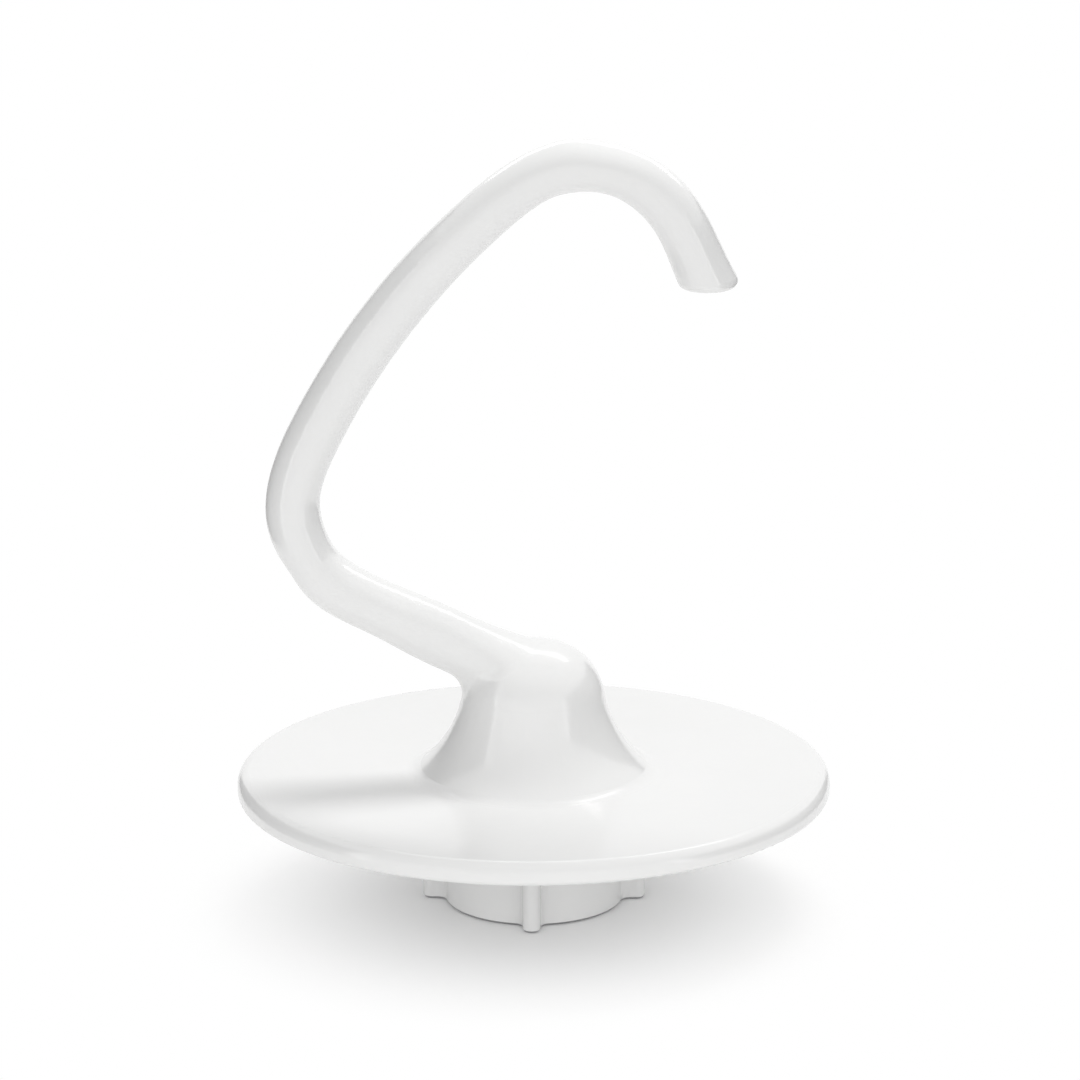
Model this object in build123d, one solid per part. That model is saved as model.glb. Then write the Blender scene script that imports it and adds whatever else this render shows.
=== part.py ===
from build123d import *
import os
from math import hypot, sqrt
from numpy import interp

# Stand mixer dough hook: one coated casting, upside down on its socket hub.
# Millimetres and degrees. Z runs up the socket's axis from the hub's mouth at Z = 0.
# The arm lies in the plane Y = 0, with its bend towards -X and its tip towards +X.

# Guard disc, which keeps dough off the mixer's shaft
guard_diameter = 114.3
guard_thickness = 4.3
rim_top_round = 2.3
rim_bottom_round = 1.0

# Socket hub under the disc, with ribs down its sides
hub_diameter = 34.4
hub_height = 22.0
hub_edge_round = 0.7
hub_root_fillet = 0.8
rib_count = 4
rib_thickness = 3.4
rib_reach = 4.3
rib_root_fillet = 2.0
first_rib_angle = -91.4

# Socket for the mixer's shaft, and the slot that its cross pin turns into
shaft_diameter = 12.7
shaft_clearance = 0.2
bore_depth = 36.0
lead_in = 1.0
pin_diameter = 4.8
pin_clearance = 0.4
pin_height = 12.0
pin_entry_angle = 119.0
pin_lock_turn = 32.0

# Boss above the disc: a rounded crown, just covering the arm's root, on a flared foot
crown_cover = 0.9
boss_diameter = 27.6
shoulder_radius = 12.0
flare_radius = 23.0
foot_diameter = 46.0
foot_fillet = 4.0

# Centre line of the arm, from the socket's axis to the tip
arm_root_height = 18.0
lower_arm_slope = 26.0
lower_arm_length = 38.0
bend_radius = 20.4
bend_turn = 88.3
bow_radius = 142.0
bow_turn = 27.0
arch_radius = 20.6
arch_turn = 103.0
tip_length = 13.0
tip_bevel = 25.7
tip_round = 1.5

# Oval section of the arm: thickness in the hook's plane, depth across it
root_thickness = 12.9
root_depth = 20.0
root_flare_length = 16.0
arm_thickness = 10.3
arm_depth = 12.4
arch_thickness = 9.4
tip_thickness = 10.9
root_blend = 4.8
section_spacing = 9.0

# Places that follow from the sizes above
guard_radius = guard_diameter / 2
guard_top = hub_height + guard_thickness
hub_radius = hub_diameter / 2
bore_radius = (shaft_diameter + shaft_clearance) / 2
slot_width = pin_diameter + pin_clearance
tip_spare = tip_thickness
arm_root_z = guard_top + arm_root_height
crown_z = arm_root_z + root_thickness / 2 + crown_cover


def circles_meet(centre_a, radius_a, centre_b, radius_b):
    """Of the two points where two circles cross, the one to the right on the way from a to b."""
    dx = centre_b[0] - centre_a[0]
    dy = centre_b[1] - centre_a[1]
    gap = hypot(dx, dy)
    along = (gap**2 + radius_a**2 - radius_b**2) / (2 * gap)
    across = sqrt(radius_a**2 - along**2)
    x = centre_a[0] + (along * dx + across * dy) / gap
    y = centre_a[1] + (along * dy - across * dx) / gap
    return (x, y)


def round_corner(profile, corner, radius):
    """The profile with its vertex at a corner rounded."""
    return fillet(profile.vertices().sort_by_distance(corner)[0], radius)


def guard_and_boss():
    """Disc with a rounded rim, and the boss whose flare runs tangent into its round shoulder."""
    rim_bottom = (guard_radius, hub_height)
    rim_top = (guard_radius, guard_top)
    foot = (foot_diameter / 2, guard_top)
    shoulder = (boss_diameter / 2 - shoulder_radius, crown_z - shoulder_radius)
    flare = circles_meet(foot, flare_radius, shoulder, shoulder_radius + flare_radius)
    crown_edge = Vector(shoulder[0], crown_z)
    neck = Vector(*shoulder) + (Vector(*flare) - Vector(*shoulder)).normalized() * shoulder_radius
    round_over = TangentArc(crown_edge, neck, tangent=(1, 0))
    profile = make_face([
        round_over,
        TangentArc(neck, foot, tangent=round_over % 1),
        Polyline(foot, rim_top, rim_bottom, (0, hub_height), (0, crown_z), crown_edge),
    ])
    profile = round_corner(profile, foot, foot_fillet)
    profile = round_corner(profile, rim_top, rim_top_round)
    profile = round_corner(profile, rim_bottom, rim_bottom_round)
    return revolve(Plane.XZ * profile, Axis.Z)


def arm_line():
    """Straight lower arm, bend, bowed upper arm, arch and straight tip, each tangent to the next."""
    lower = PolarLine((0, arm_root_z), lower_arm_length, 180 - lower_arm_slope)
    bend = JernArc(lower @ 1, lower % 1, bend_radius, -bend_turn)
    bow = JernArc(bend @ 1, bend % 1, bow_radius, -bow_turn)
    arch = JernArc(bow @ 1, bow % 1, arch_radius, -arch_turn)
    tip = Line(arch @ 1, arch @ 1 + (arch % 1) * (tip_length + tip_spare))
    return [Plane.XZ * edge for edge in (lower, bend, bow, arch, tip)]


def arm():
    """Oval bar lofted along the centre line: deep where it leaves the boss, thinnest over the arch."""
    edges = arm_line()
    line = Wire(edges)
    lower, bend, bow, arch, tip = [edge.length for edge in edges]
    places = [0, lower, lower + bend + bow / 2, line.length - tip - arch / 2, line.length]
    thicknesses = [root_thickness, arm_thickness, arm_thickness, arch_thickness, tip_thickness]

    def oval(share):
        thickness = interp(share * line.length, places, thicknesses)
        depth = interp(share * line.length, [0, root_flare_length], [root_depth, arm_depth])
        return Plane(line @ share, x_dir=(0, 1, 0), z_dir=line % share) * Ellipse(depth / 2, thickness / 2)

    count = round(line.length / section_spacing)
    bar = loft([oval(step / count) for step in range(count + 1)])
    # The spare end is cut off across the tip's line, at the bevel that brings the cut level
    along = line % 1
    cut = Plane(line @ 1 - along * tip_spare, z_dir=along.rotate(Axis.Y, tip_bevel))
    reach = 3 * tip_spare
    bar -= cut * Box(reach, reach, reach, align=(Align.CENTER, Align.CENTER, Align.MIN))
    end_face = bar.faces().sort_by_distance(cut.origin)[0]
    return fillet(end_face.edges(), tip_round)


def hub():
    """Ribbed cylinder from the mouth up into the disc."""
    tip_x = hub_radius + rib_reach - rib_thickness / 2
    rib = Pos(tip_x / 2, 0) * Rectangle(tip_x, rib_thickness) + Pos(tip_x, 0) * Circle(rib_thickness / 2)
    outline = Circle(hub_radius)
    for turn in range(rib_count):
        outline += Rot(0, 0, 360 / rib_count * turn) * rib
    roots = sorted(outline.vertices(), key=lambda corner: Vector(*corner).length)[: 2 * rib_count]
    outline = Rot(0, 0, first_rib_angle) * fillet(roots, rib_root_fillet)
    body = extrude(outline, guard_top)
    return fillet(body.edges().group_by(Axis.Z)[0], hub_edge_round)


def socket():
    """Blind bore for the shaft, opened by a lead-in at its mouth."""
    mouth = bore_radius + lead_in
    profile = make_face(Polyline(
        (0, 0), (mouth, 0), (bore_radius, lead_in), (bore_radius, bore_depth), (0, bore_depth), close=True))
    return revolve(Plane.XZ * profile, Axis.Z)


def pin_slot():
    """L-shaped slot through the hub's wall: up from the mouth, then round to where the pin locks."""
    reach = hub_radius + rib_reach
    from_axis = (Align.CENTER, Align.CENTER, Align.MIN)
    pin_hole = Pos(0, 0, pin_height) * Rot(0, 90, 0) * Cylinder(slot_width / 2, reach, align=from_axis)
    entry = Pos(reach / 2, 0, pin_height / 2) * Box(reach, slot_width, pin_height)
    strip = Plane.XZ * Pos(reach / 2, pin_height) * Rectangle(reach, slot_width)
    run = revolve(strip, Axis.Z, pin_lock_turn)
    slot = entry + pin_hole + run + Rot(0, 0, pin_lock_turn) * pin_hole
    return Rot(0, 0, pin_entry_angle) * slot


def dough_hook():
    """The whole casting, blended where the arm meets the boss and where the hub meets the disc."""
    body = guard_and_boss()
    bar = arm()
    body = fillet(new_edges(body, bar, combined=body + bar), root_blend)
    stem = hub()
    body = fillet(new_edges(body, stem, combined=body + stem), hub_root_fillet)
    return body - socket() - pin_slot()


os.makedirs("parts", exist_ok=True)
export_step(dough_hook(), "parts/dough_hook.step")
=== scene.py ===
from math import cos, pi, radians, sin, tan

import bpy
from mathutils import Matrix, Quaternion, Vector

# Looks of a stand mixer dough hook: one glossy white coated casting, in a white studio.
# Metres and degrees, in the part's own frame: Z up, the camera looks along +Y and a little down.

# Camera, at the photograph's viewing angle
CAMERA_TARGET = Vector((0, 0, 0.07))
CAMERA_DISTANCE = 1.0
CAMERA_ELEVATION = 15.75
CAMERA_ROLL = -0.22
CAMERA_LENS_MM = 174.6
CAMERA_SHIFT = (0.0067, 0.0092)

# White coat: glossy, with a slight drift of colour and gloss, and a faint orange-peel ripple
COAT_COLOUR = (0.84, 0.84, 0.835)
COAT_ROUGHNESS = 0.18
COAT_IOR = 1.7
DRIFT_SCALE = 60.0
DRIFT_DETAIL = 3.0
COLOUR_DRIFT = 0.015
ROUGHNESS_DRIFT = 0.02
RIPPLE_SCALE = 450.0
RIPPLE_DETAIL = 1.0
RIPPLE_STRENGTH = 0.05
RIPPLE_HEIGHT = 0.0002

# Bare metal where the hub is machined after coating: its socket, and its end face, whose dark grey also
# paints the shade line where the hub meets the floor
METAL_AND_FOOT_SHADE_COLOUR = (0.45, 0.45, 0.46)
METAL_ROUGHNESS = 0.35
END_FACE_AND_SHADE_TOP = 0.0005
SOCKET_RADIUS = 0.0076
SOCKET_TOP = 0.0365
TOOL_MARK_PITCH = 0.0004
TOOL_MARK_STRENGTH = 0.3
TOOL_MARK_HEIGHT = 0.00002

# Studio: a white room, a wide softbox in front, and a key lamp overhead that stands back and to the right.
# The softbox's angles are those that it spans from the object. The floor fades to white between two
# distances from its middle.
ROOM_LEVEL = 0.56
SOFTBOX_RADIANCE = 1.17
SOFTBOX_DISTANCE = 1.6
SOFTBOX_HALF_ANGLE = 55
SOFTBOX_TOP_ANGLE = 32
KEY_RADIANCE = 18.8
KEY_SIZE = (0.65, 0.17)
KEY_DISTANCE = 1.1
KEY_LEAN = 25.5
KEY_SIDE = 0.2
FLOOR_HALF_WIDTH = 0.22
FLOOR_COLOUR = (0.95, 0.95, 0.95)
FLOOR_FADE = (0.005, 0.075)

# What only reflections show: a narrow strip behind for the crown and arm, and at each side a dark card
# that leans outwards, with a bright edge to its front. A card's angles are those of its front, from the
# camera's side, at its foot and at its top.
BACK_STRIP_RADIANCE = 3.0
BACK_STRIP_PLACE = (0.02, 0.12, 0.2)
BACK_STRIP_SIZE = (0.2, 0.026)
BACK_STRIP_TARGET = (0, 0, 0.05)
LEFT_CARD_ANGLES = (60, 73)
LEFT_CARD_HEIGHT = 0.46
RIGHT_CARD_ANGLES = (54, 54)
RIGHT_CARD_HEIGHT = 0.28
CARD_FOOT_OFFSET = 0.15
CARD_FOOT_BACK = 0.25
CARD_TOP_OFFSET = 0.5
CARD_TOP_BACK = 0.9
CARD_COLOUR = (0.04, 0.04, 0.04)
CARD_EDGE_ANGLE = 5
CARD_EDGE_LEVEL = 2.2


def link(obj):
    """Adds an object to the scene."""
    bpy.context.scene.collection.objects.link(obj)
    return obj


def new_material(name):
    """A node material and its tree, which is still empty."""
    material = bpy.data.materials.new(name)
    material.use_nodes = True
    material.node_tree.nodes.clear()
    return material, material.node_tree


def add_node(tree, kind, inputs=None, **settings):
    """A shader node with its settings and socket values. A socket value may be another node's output."""
    node = tree.nodes.new(kind)
    for name, value in settings.items():
        setattr(node, name, value)
    for name, value in (inputs or {}).items():
        if isinstance(value, bpy.types.NodeSocket):
            tree.links.new(value, node.inputs[name])
        else:
            node.inputs[name].default_value = value
    return node


def calculate(tree, operation, *values):
    """The result of a math operation on numbers and other nodes' outputs."""
    return add_node(tree, "ShaderNodeMath", dict(enumerate(values)), operation=operation).outputs["Value"]


def spread(tree, value, low, high):
    """A value from 0 to 1, spread over another range."""
    inputs = {"Value": value, "To Min": low, "To Max": high}
    return add_node(tree, "ShaderNodeMapRange", inputs).outputs["Result"]


def white_coat(tree, place):
    """Glossy white coat: nearly even colour and gloss, and a ripple that softens reflections."""
    noise = add_node(
        tree, "ShaderNodeTexNoise", {"Vector": place, "Scale": DRIFT_SCALE, "Detail": DRIFT_DETAIL})
    drift = noise.outputs["Fac"]
    shade = spread(tree, drift, 1 - COLOUR_DRIFT, 1 + COLOUR_DRIFT)
    colour = add_node(tree, "ShaderNodeVectorMath", {0: COAT_COLOUR, "Scale": shade}, operation="SCALE")
    gloss = spread(tree, drift, COAT_ROUGHNESS - ROUGHNESS_DRIFT, COAT_ROUGHNESS + ROUGHNESS_DRIFT)
    ripple = add_node(
        tree, "ShaderNodeTexNoise", {"Vector": place, "Scale": RIPPLE_SCALE, "Detail": RIPPLE_DETAIL})
    bump = add_node(tree, "ShaderNodeBump", {
        "Height": ripple.outputs["Fac"],
        "Strength": RIPPLE_STRENGTH,
        "Distance": RIPPLE_HEIGHT,
    })
    return add_node(tree, "ShaderNodeBsdfPrincipled", {
        "Base Color": colour.outputs["Vector"],
        "Roughness": gloss,
        "IOR": COAT_IOR,
        "Normal": bump.outputs["Normal"],
    })


def metal_and_foot_shade(tree, radius, height):
    """Turned aluminium with fine tool marks round the socket's axis; its dark grey is also painted shade
    at the hub's foot.
    """
    along = calculate(tree, "ADD", radius, height)
    turns = calculate(tree, "MULTIPLY", along, 2 * pi / TOOL_MARK_PITCH)
    bump = add_node(tree, "ShaderNodeBump", {
        "Height": calculate(tree, "SINE", turns),
        "Strength": TOOL_MARK_STRENGTH,
        "Distance": TOOL_MARK_HEIGHT,
    })
    return add_node(tree, "ShaderNodeBsdfPrincipled", {
        "Base Color": (*METAL_AND_FOOT_SHADE_COLOUR, 1),
        "Metallic": 1.0,
        "Roughness": METAL_ROUGHNESS,
        "Normal": bump.outputs["Normal"],
    })


def coated_casting():
    """White coat all over, except the machined socket and a bottom band of dark metal that also paints the
    hub's contact shade.
    """
    material, tree = new_material("white_coat")
    place = add_node(tree, "ShaderNodeTexCoord").outputs["Object"]
    height = add_node(tree, "ShaderNodeSeparateXYZ", {"Vector": place}).outputs["Z"]
    flat = add_node(tree, "ShaderNodeVectorMath", {0: place, 1: (1, 1, 0)}, operation="MULTIPLY")
    reach = add_node(tree, "ShaderNodeVectorMath", {0: flat.outputs["Vector"]}, operation="LENGTH")
    radius = reach.outputs["Value"]
    # The bottom band's dark metal is partly painted shade: the dark line where the hub meets the floor.
    end_face_and_shade = calculate(tree, "LESS_THAN", height, END_FACE_AND_SHADE_TOP)
    inside = calculate(tree, "LESS_THAN", radius, SOCKET_RADIUS)
    below = calculate(tree, "LESS_THAN", height, SOCKET_TOP)
    socket = calculate(tree, "MULTIPLY", inside, below)
    surface = add_node(tree, "ShaderNodeMixShader", {
        "Fac": calculate(tree, "MAXIMUM", end_face_and_shade, socket),
        1: white_coat(tree, place).outputs["BSDF"],
        2: metal_and_foot_shade(tree, radius, height).outputs["BSDF"],
    })
    add_node(tree, "ShaderNodeOutputMaterial", {"Surface": surface.outputs["Shader"]})
    return material


def seen_directly(tree):
    """1 for rays from the camera, a mirror or glass, and 0 for the light that surfaces scatter."""
    path = add_node(tree, "ShaderNodeLightPath").outputs
    clear = calculate(tree, "MAXIMUM", path["Is Camera Ray"], path["Is Glossy Ray"])
    return calculate(tree, "MAXIMUM", clear, path["Is Transmission Ray"])


def floor_paint():
    """White floor that keeps the object's shadow and, where it is seen, fades to the white room."""
    material, tree = new_material("floor_paint")
    paint = add_node(tree, "ShaderNodeBsdfDiffuse", {"Color": (*FLOOR_COLOUR, 1)})
    white = add_node(tree, "ShaderNodeEmission")
    place = add_node(tree, "ShaderNodeTexCoord").outputs["Object"]
    reach = add_node(tree, "ShaderNodeVectorMath", {0: place}, operation="LENGTH")
    fade = add_node(
        tree, "ShaderNodeMapRange",
        {"Value": reach.outputs["Value"], "From Min": FLOOR_FADE[0], "From Max": FLOOR_FADE[1]},
        interpolation_type="SMOOTHSTEP")
    both = add_node(tree, "ShaderNodeMixShader", {
        "Fac": calculate(tree, "MULTIPLY", fade.outputs["Result"], seen_directly(tree)),
        1: paint.outputs["BSDF"],
        2: white.outputs["Emission"],
    })
    add_node(tree, "ShaderNodeOutputMaterial", {"Surface": both.outputs["Shader"]})
    return material


def card_black():
    """Matt black of the side cards."""
    material, tree = new_material("card_black")
    paint = add_node(tree, "ShaderNodeBsdfDiffuse", {"Color": (*CARD_COLOUR, 1)})
    add_node(tree, "ShaderNodeOutputMaterial", {"Surface": paint.outputs["BSDF"]})
    return material


def edge_light():
    """Even glow of the cards' bright edges."""
    material, tree = new_material("edge_light")
    glow = add_node(tree, "ShaderNodeEmission", {"Strength": CARD_EDGE_LEVEL})
    add_node(tree, "ShaderNodeOutputMaterial", {"Surface": glow.outputs["Emission"]})
    return material


def sheet(name, corners, material):
    """A flat four-cornered mesh that belongs to the studio."""
    mesh = bpy.data.meshes.new(name)
    mesh.from_pydata(corners, [], [(0, 1, 2, 3)])
    mesh.materials.append(material)
    obj = link(bpy.data.objects.new(name, mesh))
    return obj


def only_reflected(obj):
    """Shows a studio piece in reflections alone."""
    obj.visible_camera = False
    obj.visible_diffuse = False
    obj.visible_shadow = False


def side_card(name, side, angles, height, dark, bright):
    """A dark card at one side and the bright edge in front of it."""
    def corner(offset, angle, rise):
        return side * offset, -offset / tan(radians(angle)), rise

    foot_angle, top_angle = angles
    foot = corner(CARD_FOOT_OFFSET, foot_angle, 0)
    top = corner(CARD_TOP_OFFSET, top_angle, height)
    back = [
        (side * CARD_FOOT_OFFSET, CARD_FOOT_BACK, 0),
        (side * CARD_TOP_OFFSET, CARD_TOP_BACK, height),
    ]
    front = [
        corner(CARD_FOOT_OFFSET, foot_angle - CARD_EDGE_ANGLE, 0),
        corner(CARD_TOP_OFFSET, top_angle - CARD_EDGE_ANGLE, height),
    ]
    only_reflected(sheet("card_" + name, [foot, *back, top], dark))
    only_reflected(sheet("edge_" + name, [foot, *front, top], bright))


def room():
    """White room: full white where it is seen, and a plain level of soft light on the object."""
    world = bpy.data.worlds.new("room")
    bpy.context.scene.world = world
    world.use_nodes = True
    tree = world.node_tree
    tree.nodes.clear()
    level = spread(tree, seen_directly(tree), ROOM_LEVEL, 1.0)
    light = add_node(tree, "ShaderNodeBackground", {"Color": (1, 1, 1, 1), "Strength": level})
    add_node(tree, "ShaderNodeOutputWorld", {"Surface": light.outputs["Background"]})


def softbox(name, place, target, size, radiance):
    """A rectangular lamp of an even brightness that faces a target."""
    lamp = bpy.data.lights.new(name, "AREA")
    lamp.shape = "RECTANGLE"
    lamp.size, lamp.size_y = size
    lamp.energy = radiance * pi * size[0] * size[1]
    obj = link(bpy.data.objects.new(name, lamp))
    obj.location = place
    obj.rotation_mode = "QUATERNION"
    obj.rotation_quaternion = (Vector(target) - Vector(place)).to_track_quat("-Z", "Y")
    obj.visible_camera = False
    return obj


def lamps():
    """Front softbox and key, which reflections don't show, and the strip behind, which only they show."""
    width = 2 * SOFTBOX_DISTANCE * tan(radians(SOFTBOX_HALF_ANGLE))
    height = SOFTBOX_DISTANCE * tan(radians(SOFTBOX_TOP_ANGLE))
    middle = Vector((0, -SOFTBOX_DISTANCE, height / 2))
    ahead = middle + Vector((0, 1, 0))
    front = softbox("front_softbox", middle, ahead, (width, height), SOFTBOX_RADIANCE)
    front.visible_glossy = False
    lean = radians(KEY_LEAN)
    place = CAMERA_TARGET + Vector((KEY_SIDE, KEY_DISTANCE * sin(lean), KEY_DISTANCE * cos(lean)))
    key = softbox("overhead_key", place, CAMERA_TARGET, KEY_SIZE, KEY_RADIANCE)
    key.visible_glossy = False
    back_strip = softbox(
        "back_strip", BACK_STRIP_PLACE, BACK_STRIP_TARGET, BACK_STRIP_SIZE, BACK_STRIP_RADIANCE)
    back_strip.visible_diffuse = False


def studio():
    """Floor, side cards and lamps."""
    far = FLOOR_HALF_WIDTH
    sheet("floor", [(-far, -far, 0), (far, -far, 0), (far, far, 0), (-far, far, 0)], floor_paint())
    dark = card_black()
    bright = edge_light()
    side_card("left", -1, LEFT_CARD_ANGLES, LEFT_CARD_HEIGHT, dark, bright)
    side_card("right", 1, RIGHT_CARD_ANGLES, RIGHT_CARD_HEIGHT, dark, bright)
    lamps()


def camera():
    """Long lens at the photograph's viewing angle."""
    data = bpy.data.cameras.new("camera")
    data.lens = CAMERA_LENS_MM
    data.shift_x, data.shift_y = CAMERA_SHIFT
    obj = link(bpy.data.objects.new("camera", data))
    rise = radians(CAMERA_ELEVATION)
    back = Vector((0, -cos(rise), sin(rise)))
    obj.location = CAMERA_TARGET + back * CAMERA_DISTANCE
    obj.rotation_mode = "QUATERNION"
    roll = Quaternion((0, 0, 1), radians(CAMERA_ROLL))
    obj.rotation_quaternion = (-back).to_track_quat("-Z", "Y") @ roll
    bpy.context.scene.camera = obj


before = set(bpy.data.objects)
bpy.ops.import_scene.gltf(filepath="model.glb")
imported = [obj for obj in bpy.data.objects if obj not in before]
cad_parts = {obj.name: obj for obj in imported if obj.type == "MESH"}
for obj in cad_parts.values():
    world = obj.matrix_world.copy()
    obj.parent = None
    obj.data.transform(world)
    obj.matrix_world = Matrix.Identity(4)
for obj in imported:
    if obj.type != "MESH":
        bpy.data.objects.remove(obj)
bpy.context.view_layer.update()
bpy.context.scene.view_settings.view_transform = "Standard"

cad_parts["dough_hook"].material_slots[0].material = coated_casting()
room()
studio()
camera()
